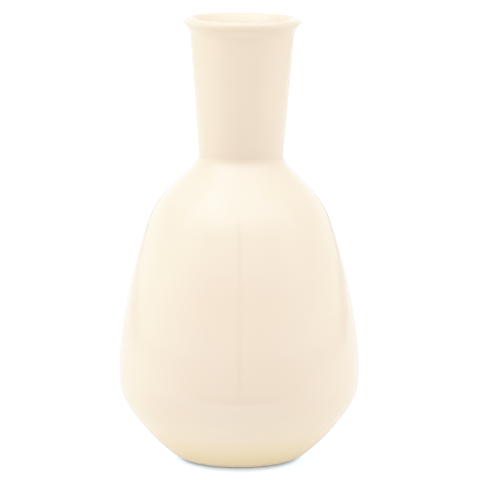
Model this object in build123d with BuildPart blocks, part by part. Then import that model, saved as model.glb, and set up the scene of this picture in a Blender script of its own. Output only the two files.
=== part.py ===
from build123d import *

import os
from collections import namedtuple
from math import acos, atan2, cos, degrees, radians, sin, sqrt

# A slip-cast vase with a pear-shaped body and a tall, slightly widening neck, glazed
# inside and out. It is one fired clay body under three coats of glaze: one outside, one
# inside, and one in the recess within the foot ring. Every piece is turned about Z, the
# upright axis through the middle of the foot. Lengths are millimetres, angles degrees.

Bend = namedtuple("Bend", "radius heading")  # an arc, and the heading where it ends
Run = namedtuple("Run", "length")  # a straight stretch along the last heading

# Driving dimensions
HEIGHT = 200.0
WALL = 4.0  # the clay with the coat on each side of it
GLAZE = 0.4  # one coat
FOOT_FLAT = 23.4  # radius where the outer surface would leave the table

# The outer surface from the table up. A heading is the line's slope: 0 points outwards,
# 90 straight up. A bend with a negative radius is hollow as seen from outside.
FOOT_BEND = Bend(12.0, 38.0)
BOWL = Bend(87.0, 57.0)
BELLY = Bend(27.5, 90.5)
UPPER_BELLY = Bend(150.0, 98.5)
FLANK = Bend(282.0, 108.5)
SHOULDER = Bend(38.0, 135.0)
SHOULDER_SLOPE = Run(15.9)
NECK_ROOT = Bend(-6.7, 85.5)
LIP_FLARE = Bend(-7.7, 45.0)
LIP_RADIUS = WALL / 2  # the lip is a full round over the wall's thickness

# Foot ring and the recess inside it
GLAZE_LINE = 0.5  # height where the outer coat was wiped back before firing
RING_OUTER = 25.2  # radius of the bare ring's outer edge on the table
RING_INNER = 20.8
RING_EASE = 0.4  # rounding of the ring's two bare edges
RECESS = 2.4  # depth to the clay
RECESS_FILLET = 1.5

# Inner floor
FLOOR = 6.4  # height of the glazed floor above the table
FLOOR_CORNER = 8.0  # radius of the glazed corner between floor and wall


def inward(heading):
    """The direction from the outer surface into the wall, where it has this heading."""
    return Vector(-sin(radians(heading)), cos(radians(heading)))


def bend_step(heading, bend):
    """How far a bend that starts at this heading carries the line."""
    return bend.radius * (inward(heading) - inward(bend.heading))


def neck_run():
    """The straight stretch of the neck, as long as the height leaves for it."""
    bends = [FOOT_BEND, BOWL, BELLY, UPPER_BELLY, FLANK, SHOULDER]
    bends += [NECK_ROOT, LIP_FLARE, Bend(LIP_RADIUS, 180.0)]
    headings = [0.0] + [bend.heading for bend in bends]
    rise = sum(bend_step(heading, bend).Y for heading, bend in zip(headings, bends))
    rise += SHOULDER_SLOPE.length * sin(radians(SHOULDER.heading))
    return Run((HEIGHT - rise) / sin(radians(NECK_ROOT.heading)))


BODY_TO_LIP = [BOWL, BELLY, UPPER_BELLY, FLANK, SHOULDER, SHOULDER_SLOPE]
BODY_TO_LIP += [NECK_ROOT, neck_run(), LIP_FLARE]

# The outer coat starts on the foot bend, at the glaze line
glaze_heading = degrees(acos(1 - GLAZE_LINE / FOOT_BEND.radius))
foot_start = Vector(FOOT_FLAT, 0)
glaze_start = foot_start + bend_step(0, Bend(FOOT_BEND.radius, glaze_heading))

# The inner floor's corner is tangent to the floor and to the inside of the bowl
bowl_start = foot_start + bend_step(0, FOOT_BEND)
bowl_centre = bowl_start + BOWL.radius * inward(FOOT_BEND.heading)
corner_reach = BOWL.radius - WALL - FLOOR_CORNER
corner_drop = bowl_centre.Y - FLOOR - FLOOR_CORNER
corner_out = sqrt(corner_reach**2 - corner_drop**2)
corner_radius = bowl_centre.X + corner_out
corner_bend = Bend(FLOOR_CORNER + WALL, degrees(atan2(corner_out, corner_drop)))


def wall_line(place, heading, stretches, depth):
    """Draws the wall's line at one depth under its outer surface, and returns its ends.
    It starts at the depth below `place`, which lies on the outer surface."""
    first = point = place + depth * inward(heading)
    for stretch in stretches:
        direction = Vector(cos(radians(heading)), sin(radians(heading)))
        if isinstance(stretch, Run):
            line = Line(point, point + direction * stretch.length)
        else:
            turn = stretch.heading - heading
            line = JernArc(point, direction, abs(stretch.radius - depth), turn)
            heading = stretch.heading
        point = line @ 1
    return first, point


def outer_line(depth):
    """From the glaze line up the outside to the lip's crest."""
    stretches = [FOOT_BEND] + BODY_TO_LIP + [Bend(LIP_RADIUS, 180.0)]
    return wall_line(glaze_start, glaze_heading, stretches, depth)


def inner_line(depth):
    """From the axis along the floor and up the inside to the lip's crest."""
    floor_end = Vector(corner_radius, FLOOR - WALL)
    stretches = [corner_bend] + BODY_TO_LIP + [Bend(LIP_RADIUS, 0.0)]
    first, last = wall_line(floor_end, 0, stretches, depth)
    centre = Vector(0, first.Y)
    Line(centre, first)
    return centre, last


def recess_line(depth):
    """From the axis along the recess's ceiling and down its fillet, on the clay at depth
    0 and on the surface of its coat at the coat's thickness."""
    centre = Vector(0, RECESS - depth)
    corner = Vector(RING_INNER - RECESS_FILLET, RECESS - depth)
    Line(centre, corner)
    fillet_arc = JernArc(corner, (1, 0), RECESS_FILLET - depth, -90)
    return centre, fillet_arc @ 1


def coat_section(line, surface, clay):
    """The section of a coat, between a line's depths at its surface and at the clay."""
    with BuildSketch(Plane.XZ) as section:
        with BuildLine():
            for end_on_surface, end_on_clay in zip(line(surface), line(clay)):
                Line(end_on_surface, end_on_clay)
        make_face()
    return section.sketch


os.makedirs("parts", exist_ok=True)

# Fired clay, from the bare foot ring to just under the crest. The ring's outer side is a
# plain slope from the glaze line down to the table.
with BuildPart() as clay_body:
    with BuildSketch(Plane.XZ) as clay_section:
        with BuildLine():
            ceiling, ring_side = recess_line(0)
            glaze_edge = outer_line(GLAZE)[0]
            floor = inner_line(WALL - GLAZE)[0]
            Polyline(ring_side, (RING_INNER, 0), (RING_OUTER, 0), glaze_edge)
            Line(ceiling, floor)
        make_face()
        fillet(clay_section.vertices().group_by(Axis.Y)[0], radius=RING_EASE)
    revolve(axis=Axis.Z)
clay_body.part.label = "clay_body"
export_step(clay_body.part, "parts/clay_body.step")

# Outer coat, from the glaze line up to the crest of the lip
with BuildPart() as outer_glaze:
    revolve(coat_section(outer_line, 0, GLAZE), axis=Axis.Z)
outer_glaze.part.label = "outer_glaze"
export_step(outer_glaze.part, "parts/outer_glaze.step")

# Inner coat, from the crest down the inside and across the floor
with BuildPart() as liner_glaze:
    revolve(coat_section(inner_line, WALL, WALL - GLAZE), axis=Axis.Z)
liner_glaze.part.label = "liner_glaze"
export_step(liner_glaze.part, "parts/liner_glaze.step")

# Coat in the recess under the vase, wiped back where the ring's side begins
with BuildPart() as base_glaze:
    revolve(coat_section(recess_line, GLAZE, 0), axis=Axis.Z)
base_glaze.part.label = "base_glaze"
export_step(base_glaze.part, "parts/base_glaze.step")
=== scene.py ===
from collections import namedtuple
from math import acos, atan2, ceil, cos, degrees, exp, pi, radians, sin, sqrt, tan

import bpy
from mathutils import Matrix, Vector, noise


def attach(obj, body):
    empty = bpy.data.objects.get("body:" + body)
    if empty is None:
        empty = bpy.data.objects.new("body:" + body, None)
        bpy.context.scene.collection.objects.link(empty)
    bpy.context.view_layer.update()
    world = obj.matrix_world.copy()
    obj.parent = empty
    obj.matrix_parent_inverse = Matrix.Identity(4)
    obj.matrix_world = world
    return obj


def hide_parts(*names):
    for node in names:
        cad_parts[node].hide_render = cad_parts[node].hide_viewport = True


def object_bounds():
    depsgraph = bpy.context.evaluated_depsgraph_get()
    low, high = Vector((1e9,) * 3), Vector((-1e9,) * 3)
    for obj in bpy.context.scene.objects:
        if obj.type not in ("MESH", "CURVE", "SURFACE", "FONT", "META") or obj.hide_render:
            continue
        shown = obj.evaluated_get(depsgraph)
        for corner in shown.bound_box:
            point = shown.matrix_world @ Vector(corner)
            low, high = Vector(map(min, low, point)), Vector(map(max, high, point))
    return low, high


# A slip-cast vase in a cream gloss glaze, as it came out of the kiln. The four pieces are
# turned from the same outline as the design, then given what firing does to it: the neck
# leans a little, nothing is quite round, and the glaze rolls off at its wiped edge.
# Lengths are in metres, angles in degrees unless a name says radians.

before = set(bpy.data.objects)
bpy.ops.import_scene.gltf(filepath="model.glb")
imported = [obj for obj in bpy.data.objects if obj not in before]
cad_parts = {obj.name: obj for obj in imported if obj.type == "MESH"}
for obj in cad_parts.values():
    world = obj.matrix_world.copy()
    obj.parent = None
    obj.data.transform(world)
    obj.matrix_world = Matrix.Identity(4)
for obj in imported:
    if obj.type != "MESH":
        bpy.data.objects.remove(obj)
cad_low, cad_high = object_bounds()

MM = 0.001
Bend = namedtuple("Bend", "radius heading")  # an arc, and the heading where it ends
Run = namedtuple("Run", "length")  # a straight stretch along the last heading
Sample = namedtuple("Sample", "out up heading")  # a point of the outline, and its slope

# The design's outline, from the table up. A heading is the line's slope: 0 points
# outwards, 90 straight up. A bend with a negative radius is hollow as seen from outside.
HEIGHT = cad_high.z
WALL = 4.0 * MM
GLAZE = 0.4 * MM
FOOT_FLAT = 23.4 * MM
FOOT_BEND = Bend(12.0 * MM, 38.0)
BOWL = Bend(87.0 * MM, 57.0)
BELLY = Bend(27.5 * MM, 90.5)
UPPER_BELLY = Bend(150.0 * MM, 98.5)
FLANK = Bend(282.0 * MM, 108.5)
SHOULDER = Bend(38.0 * MM, 135.0)
SHOULDER_SLOPE = Run(15.9 * MM)
NECK_ROOT = Bend(-6.7 * MM, 85.5)
LIP_FLARE = Bend(-7.7 * MM, 45.0)
LIP_RADIUS = WALL / 2
GLAZE_LINE = 0.5 * MM
RING_OUTER = 25.2 * MM
RING_INNER = 20.8 * MM
RING_EASE = 0.4 * MM
RECESS = 2.4 * MM
RECESS_FILLET = 1.5 * MM
FLOOR = 6.4 * MM
FLOOR_CORNER = 8.0 * MM

# What firing and glazing did
LEAN = 0.58  # how far the neck tips towards +X
NECK_SHIFT = 0.8 * MM  # how far the foot of the neck moved towards +X
SOFT_ZONE = 20.0 * MM  # height under the neck over which the shift grows
OVAL = 0.08 * MM  # how far the rim is from round
OVAL_PHASE = 0.7  # radians; it is widest at half this angle, clockwise from +X
WAVE = 0.05 * MM  # slow unevenness of the whole surface
WAVE_SIZE = 32.0 * MM
WAVE_FULL = 8.0 * MM  # height where it has reached its full size
EDGE_ROLL = 0.7 * MM  # length over which a coat rounds off at its edge
LINE_WANDER = 0.12 * MM  # about how far the wiped glaze lines stray up and down
WANDER_SLOW = 4  # radius of the ring on which its slow noise is read, in noise units
WANDER_QUICK = 11  # and its quick noise
WANDER_TOP = 4.0 * MM  # height where the straying has died out

# How finely the pieces are divided
AROUND = 192  # points around each ring
SPACING = 1.5 * MM  # the longest step along a wall
TURN = 3.0  # and the most that the wall turns in one step
ROLL_STEPS = 8  # in a coat's rolled edge
RECESS_STEPS = 12  # in the recess's ceiling, and again in its fillet
EASE_STEPS = 6  # in each rounded edge of the foot ring
CREASE = 50.0  # faces that meet at a sharper turn than this keep an edge between them
MOSTLY_UP = 0.9  # a face at the crest is on the lip's surface if its normal rises this much


# --- The outline ---------------------------------------------------------------------


def inward(heading):
    """The direction from the outer surface into the wall, as (out, up)."""
    return Vector((-sin(radians(heading)), cos(radians(heading))))


def bend_step(heading, bend):
    """How far a bend that starts at this heading carries the line."""
    return bend.radius * (inward(heading) - inward(bend.heading))


def walk(place, heading, stretches):
    """Where the outline is after these stretches."""
    for stretch in stretches:
        if isinstance(stretch, Run):
            along = Vector((cos(radians(heading)), sin(radians(heading))))
            place = place + stretch.length * along
        else:
            place = place + bend_step(heading, stretch)
            heading = stretch.heading
    return place


def wall_samples(place, heading, stretches, depth):
    """Points along the outline, evenly spaced where the wall is `depth` under it."""
    samples = [Sample(place.x, place.y, heading)]
    for stretch in stretches:
        straight = isinstance(stretch, Run)
        turn = 0 if straight else stretch.heading - heading
        length = stretch.length if straight else radians(abs(turn)) * abs(stretch.radius - depth)
        steps = max(ceil(length / SPACING), ceil(abs(turn) / TURN))
        for i in range(1, steps + 1):
            share = i / steps
            part = Run(length * share) if straight else Bend(stretch.radius, heading + turn * share)
            point = walk(place, heading, [part])
            samples.append(Sample(point.x, point.y, heading + turn * share))
        place = walk(place, heading, [stretch])
        heading += turn
    return samples


foot_start = Vector((FOOT_FLAT, 0))
to_root = [FOOT_BEND, BOWL, BELLY, UPPER_BELLY, FLANK, SHOULDER, SHOULDER_SLOPE, NECK_ROOT]
root = walk(foot_start, 0, to_root)
without_neck = walk(root, NECK_ROOT.heading, [LIP_FLARE, Bend(LIP_RADIUS, 180.0)])
NECK = Run((HEIGHT - without_neck.y) / sin(radians(NECK_ROOT.heading)))
BODY_TO_LIP = to_root[1:] + [NECK, LIP_FLARE]

# The outer coat starts on the foot bend, at the glaze line, with its rolled edge
glaze_heading = degrees(acos(1 - GLAZE_LINE / FOOT_BEND.radius))
roll_turn = degrees(EDGE_ROLL / FOOT_BEND.radius)
roll_samples = []
for i in range(ROLL_STEPS):
    there = glaze_heading + roll_turn * (1 - cos(pi / 2 * i / ROLL_STEPS))
    point = foot_start + bend_step(0, Bend(FOOT_BEND.radius, there))
    roll_samples.append(Sample(point.x, point.y, there))
roll_end = Bend(FOOT_BEND.radius, glaze_heading + roll_turn)
above_roll = [FOOT_BEND] + BODY_TO_LIP + [Bend(LIP_RADIUS, 180.0)]
outer_samples = roll_samples + wall_samples(
    foot_start + bend_step(0, roll_end), roll_end.heading, above_roll, depth=0)

# The inner coat's corner is tangent to the floor and to the inside of the bowl
bowl_start = foot_start + bend_step(0, FOOT_BEND)
bowl_centre = bowl_start + BOWL.radius * inward(FOOT_BEND.heading)
corner_reach = BOWL.radius - WALL - FLOOR_CORNER
corner_drop = bowl_centre.y - FLOOR - FLOOR_CORNER
corner_out = sqrt(corner_reach**2 - corner_drop**2)
corner_bend = Bend(FLOOR_CORNER + WALL, degrees(atan2(corner_out, corner_drop)))
floor_end = Vector((bowl_centre.x + corner_out, FLOOR - WALL))
inner_samples = wall_samples(
    floor_end, 0, [corner_bend] + BODY_TO_LIP + [Bend(LIP_RADIUS, 0.0)], WALL)


def at_depth(sample, depth):
    """The point at a depth under a sample, as (out, up)."""
    return Vector((sample.out, sample.up)) + depth * inward(sample.heading)


# --- The meshes ----------------------------------------------------------------------


def smooth(low, high, value):
    """0 below low, 1 above high, and a smooth step between."""
    share = min(max((value - low) / (high - low), 0), 1)
    return share * share * (3 - 2 * share)


def as_fired(out, up, angle):
    """Where firing leaves the point of the round design at this radius, height and
    angle (radians)."""
    around = Vector((cos(angle), sin(angle), 0))
    line_share = min(up / GLAZE_LINE, 1) * (1 - smooth(GLAZE_LINE, WANDER_TOP, up))
    stray = noise.noise(WANDER_SLOW * around) + 0.5 * noise.noise(WANDER_QUICK * around)
    swell_share = smooth(0, WAVE_FULL, up)
    swell = WAVE * swell_share * noise.noise((out * around + Vector((0, 0, up))) / WAVE_SIZE)
    swell += OVAL * (up / HEIGHT) ** 2 * cos(2 * angle + OVAL_PHASE)
    point = (out + swell) * around
    point.z = up + LINE_WANDER * line_share * stray
    neck = smooth(root.y - SOFT_ZONE, root.y, up)
    point.z -= neck * tan(radians(LEAN)) * point.x
    point.x += neck * NECK_SHIFT + tan(radians(LEAN)) * max(up - root.y, 0)
    return point


def turned(name, section, closed, crest=None):
    """Turns a section, a list of (out, up), about Z as a mesh. An open section starts and
    ends on the axis, and a closed one joins its last point to its first. `crest` is the
    index of the section's point where two coats meet at the top of the lip."""
    verts = []
    rings = []
    for out, up in section:
        if out == 0:
            rings.append([len(verts)] * AROUND)
            verts.append(as_fired(0, up, 0))
        else:
            rings.append(list(range(len(verts), len(verts) + AROUND)))
            verts += [as_fired(out, up, 2 * pi * i / AROUND) for i in range(AROUND)]
    pairs = list(zip(rings, rings[1:]))
    if closed:
        pairs.append((rings[-1], rings[0]))
    faces = []
    for low, high in pairs:
        for i in range(AROUND):
            j = (i + 1) % AROUND
            corners = [low[i], low[j], high[j], high[i]]
            faces.append(list(dict.fromkeys(corners)))
    mesh = bpy.data.meshes.new(name)
    mesh.from_pydata(verts, [], faces)
    mesh.update()
    mesh.shade_smooth()
    mesh.set_sharp_from_angle(angle=radians(CREASE))
    if crest is not None:
        level_at_crest(mesh, set(rings[crest]))
    piece = bpy.data.objects.new(name, mesh)
    bpy.context.scene.collection.objects.link(piece)
    return piece


def level_at_crest(mesh, crest_verts):
    """Gives the top faces one shared normal along the crest, so that light runs across
    the join between the two coats without a step."""
    up = Vector((tan(radians(LEAN)), 0, 1)).normalized()
    normals = [Vector((0, 0, 0))] * len(mesh.loops)
    for face in mesh.polygons:
        if face.normal.z > MOSTLY_UP:
            for loop in face.loop_indices:
                if mesh.loops[loop].vertex_index in crest_verts:
                    normals[loop] = up
    mesh.normals_split_custom_set(normals)


def roll(distance):
    """A coat's share of its full thickness at this distance from its wiped edge."""
    return sqrt(1 - max(1 - distance / EDGE_ROLL, 0) ** 2)


def outer_coat():
    """The outside coat: up its surface from the glaze line and back down the clay."""
    clay = [at_depth(sample, GLAZE) for sample in outer_samples]
    surface = []
    for sample in outer_samples:
        travelled = radians(sample.heading - glaze_heading) * FOOT_BEND.radius
        surface.append(at_depth(sample, GLAZE - GLAZE * roll(travelled)))
    return turned("vase_outer_glaze", surface + clay[:0:-1], closed=True,
                  crest=len(surface) - 1)


def inner_coat():
    """The inside coat: from the axis along the floor and up to the crest, and back."""
    surface = [at_depth(sample, WALL) for sample in inner_samples]
    clay = [at_depth(sample, WALL - GLAZE) for sample in inner_samples]
    section = [Vector((0, clay[0].y))] + clay + surface[::-1] + [Vector((0, surface[0].y))]
    return turned("vase_liner_glaze", section, closed=False, crest=len(clay) + 1)


def recess_line(coat):
    """The recess's ceiling and fillet, on the clay or on a coat of this thickness."""
    centre = Vector((RING_INNER - RECESS_FILLET, RECESS - RECESS_FILLET))
    line = [Vector((centre.x * i / RECESS_STEPS, RECESS - coat)) for i in range(RECESS_STEPS)]
    for i in range(RECESS_STEPS + 1):
        turn = pi / 2 * i / RECESS_STEPS
        thickness = coat * roll((pi / 2 - turn) * RECESS_FILLET)
        line.append(centre + (RECESS_FILLET - thickness) * Vector((sin(turn), cos(turn))))
    return line


def base_coat():
    """The coat in the recess: out along its surface and back along the clay."""
    section = recess_line(GLAZE) + recess_line(0)[-2::-1]
    return turned("vase_base_glaze", section, closed=False)


def clay_body():
    """The fired clay: the recess, the bare foot ring, and the wall between the coats."""
    eased = []
    slope = degrees(atan2(GLAZE_LINE, at_depth(outer_samples[0], GLAZE).x - RING_OUTER))
    corners = [(RING_INNER + RING_EASE, 180, 90), (RING_OUTER - RING_EASE, 270, slope)]
    for centre, start, turn in corners:
        for i in range(EASE_STEPS + 1):
            angle = radians(start + turn * i / EASE_STEPS)
            up = RING_EASE * (1 + sin(angle))
            eased.append(Vector((centre + RING_EASE * cos(angle), up)))
    outside = [at_depth(sample, GLAZE) for sample in outer_samples]
    inside = [at_depth(sample, WALL - GLAZE) for sample in inner_samples]
    section = recess_line(0) + eased + outside + inside[-2::-1] + [Vector((0, inside[0].y))]
    return turned("vase_clay", section, closed=False)


# --- Materials -----------------------------------------------------------------------


def feed(tree, socket, value):
    """Links a socket to the output that feeds it, or sets its value."""
    if isinstance(value, bpy.types.NodeSocket):
        tree.links.new(value, socket)
    else:
        socket.default_value = value


def add(tree, kind, inputs, output=0, **settings):
    """Adds a shader node with these settings and inputs, and returns one output."""
    node = tree.nodes.new("ShaderNode" + kind)
    for name, value in settings.items():
        setattr(node, name, value)
    for name, value in inputs.items():
        feed(tree, node.inputs[name], value)
    return node.outputs[output]


def noise_of(tree, place, size, detail):
    """A cloudy pattern from 0 to 1 whose patches are about this size."""
    inputs = {"Vector": place, "Scale": 1 / size, "Detail": detail}
    return add(tree, "TexNoise", inputs, "Fac")


def ramp(tree, value, low, high, to_low, to_high):
    """A value taken smoothly from one range to another, and held at its ends."""
    inputs = {"Value": value, "From Min": low, "From Max": high}
    inputs |= {"To Min": to_low, "To Max": to_high}
    return add(tree, "MapRange", inputs, interpolation_type="SMOOTHSTEP")


def rise(tree, value, span, top=1):
    """0 below a span of values, `top` above it, and a smooth step across it."""
    return ramp(tree, value, *span, 0, top)


def fall(tree, value, span, top=1):
    """`top` below a span of values, 0 above it, and a smooth step across it."""
    return ramp(tree, value, *span, top, 0)


def maths(tree, operation, first, second=0):
    """One of the plain operations on one or two numbers."""
    return add(tree, "Math", {0: first, 1: second}, operation=operation)


def product(tree, *factors):
    """Numbers multiplied together."""
    result = factors[0]
    for factor in factors[1:]:
        result = maths(tree, "MULTIPLY", result, factor)
    return result


def less(tree, value, share):
    """A value made smaller by this share of it."""
    return product(tree, value, maths(tree, "SUBTRACT", 1, share))


def number_between(tree, share, first, second):
    """A number between two others."""
    return add(tree, "Mix", {0: share, 2: first, 3: second})


def blend_of(tree, share, first, second):
    """A colour between two others."""
    return add(tree, "Mix", {0: share, 6: first, 7: second}, 2, data_type="RGBA")


def specks(tree, place, spacing, size, share):
    """Round specks of this size. A share of the cells of this spacing holds one each."""
    cells = tree.nodes.new("ShaderNodeTexVoronoi")
    feed(tree, cells.inputs["Vector"], place)
    cells.inputs["Scale"].default_value = 1 / spacing
    reach = 0.5 * size / spacing
    inside = fall(tree, cells.outputs["Distance"], (0.5 * reach, reach))
    draw = add(tree, "SeparateColor", {"Color": cells.outputs["Color"]}, "Red")
    return product(tree, inside, maths(tree, "LESS_THAN", draw, share))


def new_material(name, **sockets):
    """A material, its tree and shader, with numbers set on the shader's own sockets."""
    material = bpy.data.materials.new(name)
    material.use_nodes = True
    tree = material.node_tree
    shader = tree.nodes["Principled BSDF"]
    for socket, value in sockets.items():
        shader.inputs[socket.replace("_", " ")].default_value = value
    return material, tree, shader


CREAM = (0.86, 0.751, 0.588, 1)
CREAM_THIN = (0.868, 0.763, 0.604, 1)  # where the coat is thin
CREAM_DARKER = (0.825, 0.693, 0.437, 1)  # where it ran together
# darker, deeper cream: towards the bottom, and in faint mottling
SPECK = (0.45, 0.30, 0.16, 1)
CLAY = (0.60, 0.43, 0.27, 1)
CLAY_TOASTED = (0.50, 0.30, 0.15, 1)
CLAY_WORN = (0.70, 0.55, 0.38, 1)
GRIT = (0.30, 0.19, 0.11, 1)


def glaze(name, darken_top, seed):
    """Gloss glaze: cream with slow clouds, darker and deeper in colour below a given height, a
    few iron specks and pinholes, and the faint unevenness of a melted surface."""
    material, tree, shader = new_material(name, IOR=1.52)
    where = add(tree, "TexCoord", {}, "Object")
    moved = add(tree, "VectorMath", {0: where, 1: (seed, 0, 0)}, operation="ADD")
    height = add(tree, "SeparateXYZ", {0: where}, "Z")
    clouds = noise_of(tree, moved, size=38 * MM, detail=3.0)
    mottle = noise_of(tree, moved, size=6 * MM, detail=2.0)
    iron = specks(tree, moved, spacing=9 * MM, size=0.7 * MM, share=0.16)
    body = blend_of(tree, rise(tree, clouds, (0.3, 0.7)), CREAM_THIN, CREAM)
    # Darker, deeper cream towards the bottom, fading out at the given height
    toward_bottom = product(tree, fall(tree, height, (0, darken_top)), ramp(tree, clouds, 0.2, 0.8, 0.8, 1))
    body = blend_of(tree, toward_bottom, body, CREAM_DARKER)
    body = blend_of(tree, rise(tree, mottle, (0.55, 0.75), top=0.06), body, CREAM_DARKER)
    body = blend_of(tree, product(tree, iron, 0.5), body, SPECK)
    feed(tree, shader.inputs["Base Color"], body)

    gloss = ramp(tree, mottle, 0.3, 0.7, 0.03, 0.055)
    rough = maths(tree, "ADD", gloss, product(tree, iron, 0.1))
    feed(tree, shader.inputs["Roughness"], rough)
    swell = noise_of(tree, moved, size=14 * MM, detail=0.0)
    ripple = noise_of(tree, moved, size=2.2 * MM, detail=1.0)
    pinholes = specks(tree, moved, spacing=5 * MM, size=0.35 * MM, share=0.10)
    relief = add(tree, "Bump", {"Height": swell, "Distance": 0.015 * MM})
    relief = add(tree, "Bump", {"Height": ripple, "Distance": 0.0012 * MM, "Normal": relief})
    holes = {"Height": pinholes, "Distance": 0.04 * MM, "Normal": relief}
    feed(tree, shader.inputs["Normal"], add(tree, "Bump", holes, invert=True))
    return material


def bare_clay():
    """Buff stoneware, toasted beside the glaze, worn paler where it meets the table."""
    material, tree, shader = new_material("bare_stoneware", IOR=1.45)
    where = add(tree, "TexCoord", {}, "Object")
    height = add(tree, "SeparateXYZ", {0: where}, "Z")
    grain = noise_of(tree, where, size=0.5 * MM, detail=4.0)
    patches = noise_of(tree, where, size=7 * MM, detail=3.0)
    grit = specks(tree, where, spacing=1.1 * MM, size=0.4 * MM, share=0.3)
    body = blend_of(tree, rise(tree, grain, (0.35, 0.65), top=0.6), CLAY, CLAY_TOASTED)
    toasted = ramp(tree, height, 0.1 * MM, GLAZE_LINE, 0.1, 0.9)
    toasted = product(tree, toasted, ramp(tree, patches, 0.3, 0.7, 0.6, 1))
    body = blend_of(tree, toasted, body, CLAY_TOASTED)
    worn = fall(tree, height, (0, 0.08 * MM), top=0.8)
    worn = product(tree, worn, ramp(tree, patches, 0.35, 0.6, 0.3, 1))
    body = blend_of(tree, worn, body, CLAY_WORN)
    body = blend_of(tree, product(tree, grit, 0.6), body, GRIT)
    feed(tree, shader.inputs["Base Color"], body)
    feed(tree, shader.inputs["Roughness"], ramp(tree, grain, 0.3, 0.7, 0.68, 0.88))
    relief = add(tree, "Bump", {"Height": grain, "Distance": 0.06 * MM})
    relief = add(tree, "Bump", {"Height": grit, "Distance": 0.05 * MM, "Normal": relief})
    feed(tree, shader.inputs["Normal"], relief)
    return material


# --- The pieces ----------------------------------------------------------------------


def place(piece, node, slot, material):
    """Puts a piece in the frame, in place of its CAD node."""
    piece.data.materials.append(material)
    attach(piece, "root")
    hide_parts(node)


outer_finish = glaze("outer_glaze", darken_top=22 * MM, seed=0.0)
liner_finish = glaze("liner_glaze", darken_top=14 * MM, seed=0.3)
base_finish = glaze("base_glaze", darken_top=4 * MM, seed=0.7)
place(outer_coat(), "outer_glaze", "outer_glaze", outer_finish)
place(inner_coat(), "liner_glaze", "liner_glaze", liner_finish)
place(base_coat(), "base_glaze", "base_glaze", base_finish)
place(clay_body(), "clay_body", "bare_clay", bare_clay())

# --- Studio --------------------------------------------------------------------------

CAMERA = Vector((0.3, -1529.8, 349.96)) * MM
CAMERA_DIP = 9.307  # how far it looks down
LENS = 257.8  # mm, on a sensor 36 mm wide

# The table
TABLE_FRONT = -115.0 * MM  # where the white table ends, towards the camera
TABLE_BACK = 2000.0 * MM
TABLE_SIDE = 700.0 * MM
TABLE_WHITE = (0.78, 0.90, 1.0, 1)  # the table as the camera shows it, bluish so that the painted shadow shows grey
GLOW_TINT = (0.83, 1.08, 1.5, 1)  # cold, which paints the shadow beside the cream grey
GLOW_IN_PAINTED_SHADOW = 0.12  # the light from inside its top as the camera sees it, dimmed around the foot: a painted shadow
GLOW_CLEAR_OF_PAINTED_SHADOW = 0.6  # and clear of that painted shadow
PAINTED_SHADOW_SQUEEZE = 1.3  # how much narrower than deep that painted shadow shows
# where the painted shadow fades out, as a distance from the vase's axis
PAINTED_SHADOW_CORE = 31.0 * MM
PAINTED_SHADOW_END = 41.0 * MM
TABLE_BOUNCE = (0.60, 0.635, 0.62, 1)  # the table as it lights the vase
BOUNCE_GLOW = 0.35
TABLE_MIRRORED = (0.56, 0.57, 0.58, 1)  # the table as the glaze mirrors it
MIRRORED_GLOW = 0.33  # light from inside it
MIRRORED_GLOW_FRONT = 0.9  # and around the middle of its front edge
GLOW_CORE = 30.0 * MM  # how far from there it is as bright as that
GLOW_END = 100.0 * MM

# The tent. A direction has three shares, right, behind and height, each from -1 to 1. A
# pair of numbers is a span of one of them, or of the distance from an edge or a seam,
# over which a part of the tent fades in or out.
WALL_LIGHT = 1.38
ROOF_LIGHT = 1.88
ROOF_START = (0.22, 0.47)
OPENING = 0.825  # how much darker it is straight behind the camera
OPENING_DEPTH = (-0.95, -0.35)
OPENING_TOP = (0.29, 0.54)
OPENING_FOOT = (-0.75, -0.35)
UNDER_LIGHT = 0.7  # how bright it is just under the table's far edges, against the walls
UNDER_FADE = (-0.4, -0.05)
HORIZON = (-0.01, 0)
STEEP_LIGHT = 1.3  # how bright it is steeply below, against the walls
STEEP_FADE = (-0.85, -0.6)
DIM_BACKDROP = 0.44  # how much darker it is straight behind the vase
BACKDROP_DEPTH = (0.81, 1.0)
BACKDROP_TOP = (0.04, 0.10)
DIM_BEHIND = 0.52  # how much darker it is high up behind the vase
DIM_DEPTH = (-0.3, 0.2)
DIM_START = (0.1, 0.5)
LEFT_LEAD = 0.075  # how much brighter it is on the left than in the middle
WALL_TINT = (1.0, 1.0, 0.995, 1)
ROOF_TINT = (1.0, 0.96, 1.03, 1)
TINT_CHANGE = (0.1, 0.5)

# The tent as the glaze mirrors it, which adds these parts
SOFT_BOX = 1.6  # how much brighter the soft box in the roof is
SOFT_BOX_START = (0.48, 0.84)
SOFT_BOX_DEPTH = (-0.1, 0.45)
SOFT_BOX_WIDTH = (-0.5, 0.0)
SOFT_BOX_RIGHT = 0.2  # the share of it that remains to the right of that span
SOFT_BOX_LEFT = -0.55  # its left edge: right, as a share of height
SOFT_BOX_FRONT = -1.95  # its front edge left of the middle: behind, as a share of height
SOFT_BOX_FRONT_RIGHT = -1.45  # and right of the middle
SOFT_BOX_CORNER = (-0.01, 0.01)
SOFT_BOX_EDGE = 0.35  # how much of it ends at those edges
SOFT_BOX_CUT = (-0.02, 0.02)
MIRRORED_OPENING = 0.8  # how much lighter the opening is in the mirrored light
FRONT_GAP = 0.26  # how much darker the tent is between the soft box and the opening
FRONT_GAP_FOOT = (0.1, 0.3)
FRONT_GAP_TOP = (0.42, 0.66)
FLOOR_GAP = 0.5  # and the floor in front of the table
FLOOR_GAP_FOOT = (-0.7, -0.5)
FLOOR_GAP_TOP = (-0.4, -0.05)
GAP_DEPTH = (-0.85, -0.4)
DARK_EDGE = 0.14  # how dark the gap between the table's far edges and the walls is
DARK_EDGE_START = (0.38, 0.46)
DARK_EDGE_END = (0.7, 0.88)
DARK_EDGE_TOP = (0, 0.03)
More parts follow.
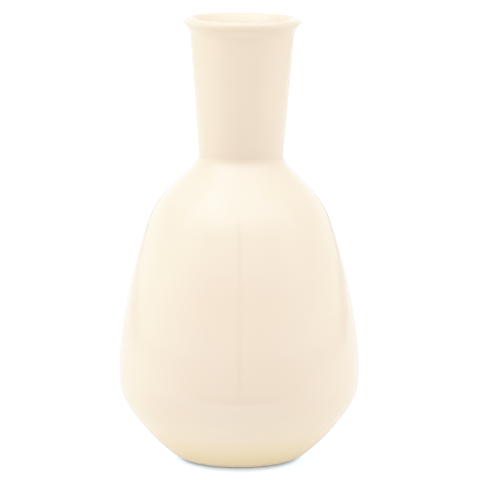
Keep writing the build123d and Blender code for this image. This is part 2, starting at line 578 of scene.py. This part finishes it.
MIRRORED_SIDES = 0.93  # how bright the side walls are, against the others
SIDES = (0.3, 0.7)
SEAM = 0.3  # how dark the tent's seams are
SEAM_WIDTH = (0.01, 0.025)
SEAM_DEPTH = (0.3, 0.5)
SEAM_FALL = 0.29  # how fast the seams come down sideways
SEAM_CLIMB = 0.31  # and go up towards the back
SLIT = 0.9  # how dark the slit is that the lens looks through
SLIT_WIDTH = (0.015, 0.045)
SLIT_TOP = (0.5, 0.86)
SLIT_FOOT = (-0.6, -0.1)
SLIT_DEPTH = (-0.7, -0.3)

# The film
KNEE = 0.83  # where its highlights begin to roll off
FILM_WHITE = 1.22  # the light that it shows as white
CURVE_LIGHTS = (0.4, 0.7, KNEE, 0.87, 0.91, 0.96, 1.02, 1.1)  # where its curve is laid out
BACKDROP_LIGHT = 2 * FILM_WHITE  # the backdrop as the camera sees it


def camera():
    """The camera, a long lens a metre and a half away."""
    data = bpy.data.cameras.new("camera")
    data.sensor_width = 36
    data.lens = LENS
    data.clip_end = 100
    rig = bpy.data.objects.new("camera", data)
    rig.location = CAMERA
    rig.rotation_euler = (radians(90 - CAMERA_DIP), 0, 0)
    bpy.context.scene.collection.objects.link(rig)
    bpy.context.scene.camera = rig


def table():
    """A matt white table top, which the vase stands on. It glows from inside, and to the
    camera the glow is dimmed around the foot: a painted shadow.
    """
    corners = [(-TABLE_SIDE, TABLE_FRONT, 0), (TABLE_SIDE, TABLE_FRONT, 0),
               (TABLE_SIDE, TABLE_BACK, 0), (-TABLE_SIDE, TABLE_BACK, 0)]
    mesh = bpy.data.meshes.new("table")
    mesh.from_pydata(corners, [], [(0, 1, 2, 3)])
    top = bpy.data.objects.new("table", mesh)
    bpy.context.scene.collection.objects.link(top)
    material, tree, shader = new_material("table_white", Roughness=0.8)
    seen = add(tree, "LightPath", {}, "Is Camera Ray")
    mirrored = add(tree, "LightPath", {}, "Is Glossy Ray")
    glow_tint = blend_of(tree, seen, (1, 1, 1, 1), GLOW_TINT)
    feed(tree, shader.inputs["Emission Color"], glow_tint)
    white = blend_of(tree, mirrored, TABLE_BOUNCE, TABLE_MIRRORED)
    feed(tree, shader.inputs["Base Color"], blend_of(tree, seen, white, TABLE_WHITE))
    where = add(tree, "TexCoord", {}, "Object")
    ends = {0: where, 1: (0, TABLE_FRONT, 0)}
    from_front = add(tree, "VectorMath", ends, "Value", operation="DISTANCE")
    glow = ramp(tree, from_front, GLOW_CORE, GLOW_END, MIRRORED_GLOW_FRONT, MIRRORED_GLOW)
    glow = number_between(tree, mirrored, BOUNCE_GLOW, glow)
    # To the camera the glow is dimmed in an oval around the foot: a painted shadow
    squeezed = add(tree, "VectorMath", {0: where, 1: (PAINTED_SHADOW_SQUEEZE, 1, 1)},
                   operation="MULTIPLY")
    away = add(tree, "VectorMath", {0: squeezed}, "Value", operation="LENGTH")
    shown = ramp(tree, away, PAINTED_SHADOW_CORE, PAINTED_SHADOW_END, GLOW_IN_PAINTED_SHADOW, GLOW_CLEAR_OF_PAINTED_SHADOW)
    feed(tree, shader.inputs["Emission Strength"], number_between(tree, seen, glow, shown))
    mesh.materials.append(material)


def tent_light(tree, right, behind, height):
    """The light that falls on the vase from each direction: a bright roof over the front
    and the sides, white walls, and a dark opening around the camera. Returns the light,
    and how much of it the opening takes away."""
    opening = product(tree, fall(tree, behind, OPENING_DEPTH, OPENING),
                      fall(tree, height, OPENING_TOP), rise(tree, height, OPENING_FOOT))
    under = ramp(tree, height, *UNDER_FADE, 1, UNDER_LIGHT)
    under = maths(tree, "MAXIMUM", under, rise(tree, height, HORIZON))
    steep = ramp(tree, height, *STEEP_FADE, STEEP_LIGHT, 1)
    walls = less(tree, product(tree, under, steep, WALL_LIGHT), opening)
    backdrop = product(tree, rise(tree, behind, BACKDROP_DEPTH, DIM_BACKDROP),
                       fall(tree, height, BACKDROP_TOP))
    walls = less(tree, walls, backdrop)
    roof = rise(tree, height, ROOF_START, ROOF_LIGHT - WALL_LIGHT)
    dimmed = product(tree, rise(tree, behind, DIM_DEPTH, DIM_BEHIND),
                     rise(tree, height, DIM_START))
    lit = less(tree, maths(tree, "ADD", walls, roof), dimmed)
    return less(tree, lit, product(tree, right, LEFT_LEAD)), opening


def soft_box(tree, right, behind, height):
    """The soft box in the roof, as light over the roof's own. It is cut off along a left
    edge and a front edge, and the front edge has a corner in the middle."""
    box = product(tree, rise(tree, height, SOFT_BOX_START, SOFT_BOX),
                  fall(tree, behind, SOFT_BOX_DEPTH),
                  ramp(tree, right, *SOFT_BOX_WIDTH, 1, SOFT_BOX_RIGHT))
    left = maths(tree, "SUBTRACT", right, product(tree, height, SOFT_BOX_LEFT))
    edge = ramp(tree, right, *SOFT_BOX_CORNER, SOFT_BOX_FRONT, SOFT_BOX_FRONT_RIGHT)
    front = maths(tree, "SUBTRACT", behind, product(tree, height, edge))
    nearest = maths(tree, "MINIMUM", left, front)
    return product(tree, box, ramp(tree, nearest, *SOFT_BOX_CUT, 1 - SOFT_BOX_EDGE, 1))


def mirrored_light(tree, light, opening, right, behind, height):
    """The light as the glaze mirrors it, with the soft box, the gaps, the seams and the
    slit, which show in the gloss alone."""
    gloss = maths(tree, "ADD", light, soft_box(tree, right, behind, height))
    gloss = maths(tree, "ADD", gloss, product(tree, opening, MIRRORED_OPENING))
    tent_gap = product(tree, rise(tree, height, FRONT_GAP_FOOT, FRONT_GAP),
                       fall(tree, height, FRONT_GAP_TOP))
    floor_gap = product(tree, rise(tree, height, FLOOR_GAP_FOOT, FLOOR_GAP),
                        fall(tree, height, FLOOR_GAP_TOP))
    gaps = maths(tree, "ADD", tent_gap, floor_gap)
    gloss = less(tree, gloss, product(tree, gaps, fall(tree, behind, GAP_DEPTH)))
    edge = product(tree, rise(tree, behind, DARK_EDGE_START, DARK_EDGE),
                   fall(tree, height, DARK_EDGE_TOP), fall(tree, behind, DARK_EDGE_END))
    gloss = less(tree, gloss, edge)
    sideways = maths(tree, "ABSOLUTE", right)
    gloss = product(tree, gloss, ramp(tree, sideways, *SIDES, 1, MIRRORED_SIDES))
    fold = maths(tree, "ADD", height, product(tree, sideways, SEAM_FALL))
    fold = maths(tree, "SUBTRACT", fold, product(tree, behind, SEAM_CLIMB))
    seam = product(tree, fall(tree, maths(tree, "ABSOLUTE", fold), SEAM_WIDTH, SEAM),
                   rise(tree, behind, SEAM_DEPTH))
    slit = product(tree, fall(tree, sideways, SLIT_WIDTH, SLIT), fall(tree, height, SLIT_TOP),
                   rise(tree, height, SLIT_FOOT), fall(tree, behind, SLIT_DEPTH))
    return less(tree, gloss, maths(tree, "MAXIMUM", seam, slit))


def light_tent():
    """The world: a white light tent, given as light from each direction. The glaze mirrors
    a sharper version of it, and the camera sees a plain white backdrop."""
    world = bpy.data.worlds.new("light_tent")
    bpy.context.scene.world = world
    world.use_nodes = True
    tree = world.node_tree
    direction = add(tree, "TexCoord", {}, "Generated")
    right, behind, height = (add(tree, "SeparateXYZ", {0: direction}, axis) for axis in "XYZ")
    light, opening = tent_light(tree, right, behind, height)
    gloss = mirrored_light(tree, light, opening, right, behind, height)
    mirrored = add(tree, "LightPath", {}, "Is Glossy Ray")
    seen = add(tree, "LightPath", {}, "Is Camera Ray")
    light = number_between(tree, mirrored, light, gloss)
    light = maths(tree, "MAXIMUM", light, product(tree, seen, BACKDROP_LIGHT))
    tint = blend_of(tree, rise(tree, height, TINT_CHANGE), WALL_TINT, ROOF_TINT)
    background = tree.nodes["Background"]
    feed(tree, background.inputs["Color"], tint)
    feed(tree, background.inputs["Strength"], light)


def film():
    """Plain colours, with the soft shoulder that a camera gives its highlights."""
    view = bpy.context.scene.view_settings
    view.view_transform = "Standard"
    view.use_curve_mapping = True
    mapping = view.curve_mapping
    mapping.white_level = (FILM_WHITE, FILM_WHITE, FILM_WHITE)
    curve = mapping.curves[3]  # the one for all three colours together
    full_roll = 1 - exp(-(FILM_WHITE - KNEE) / (1 - KNEE))
    for light in CURVE_LIGHTS:
        rolled = 1 - exp(-max(light - KNEE, 0) / (1 - KNEE))
        shown = min(light, KNEE) + (1 - KNEE) * rolled / full_roll
        curve.points.new(light / FILM_WHITE, shown)
    mapping.update()


camera()
table()
light_tent()
film()
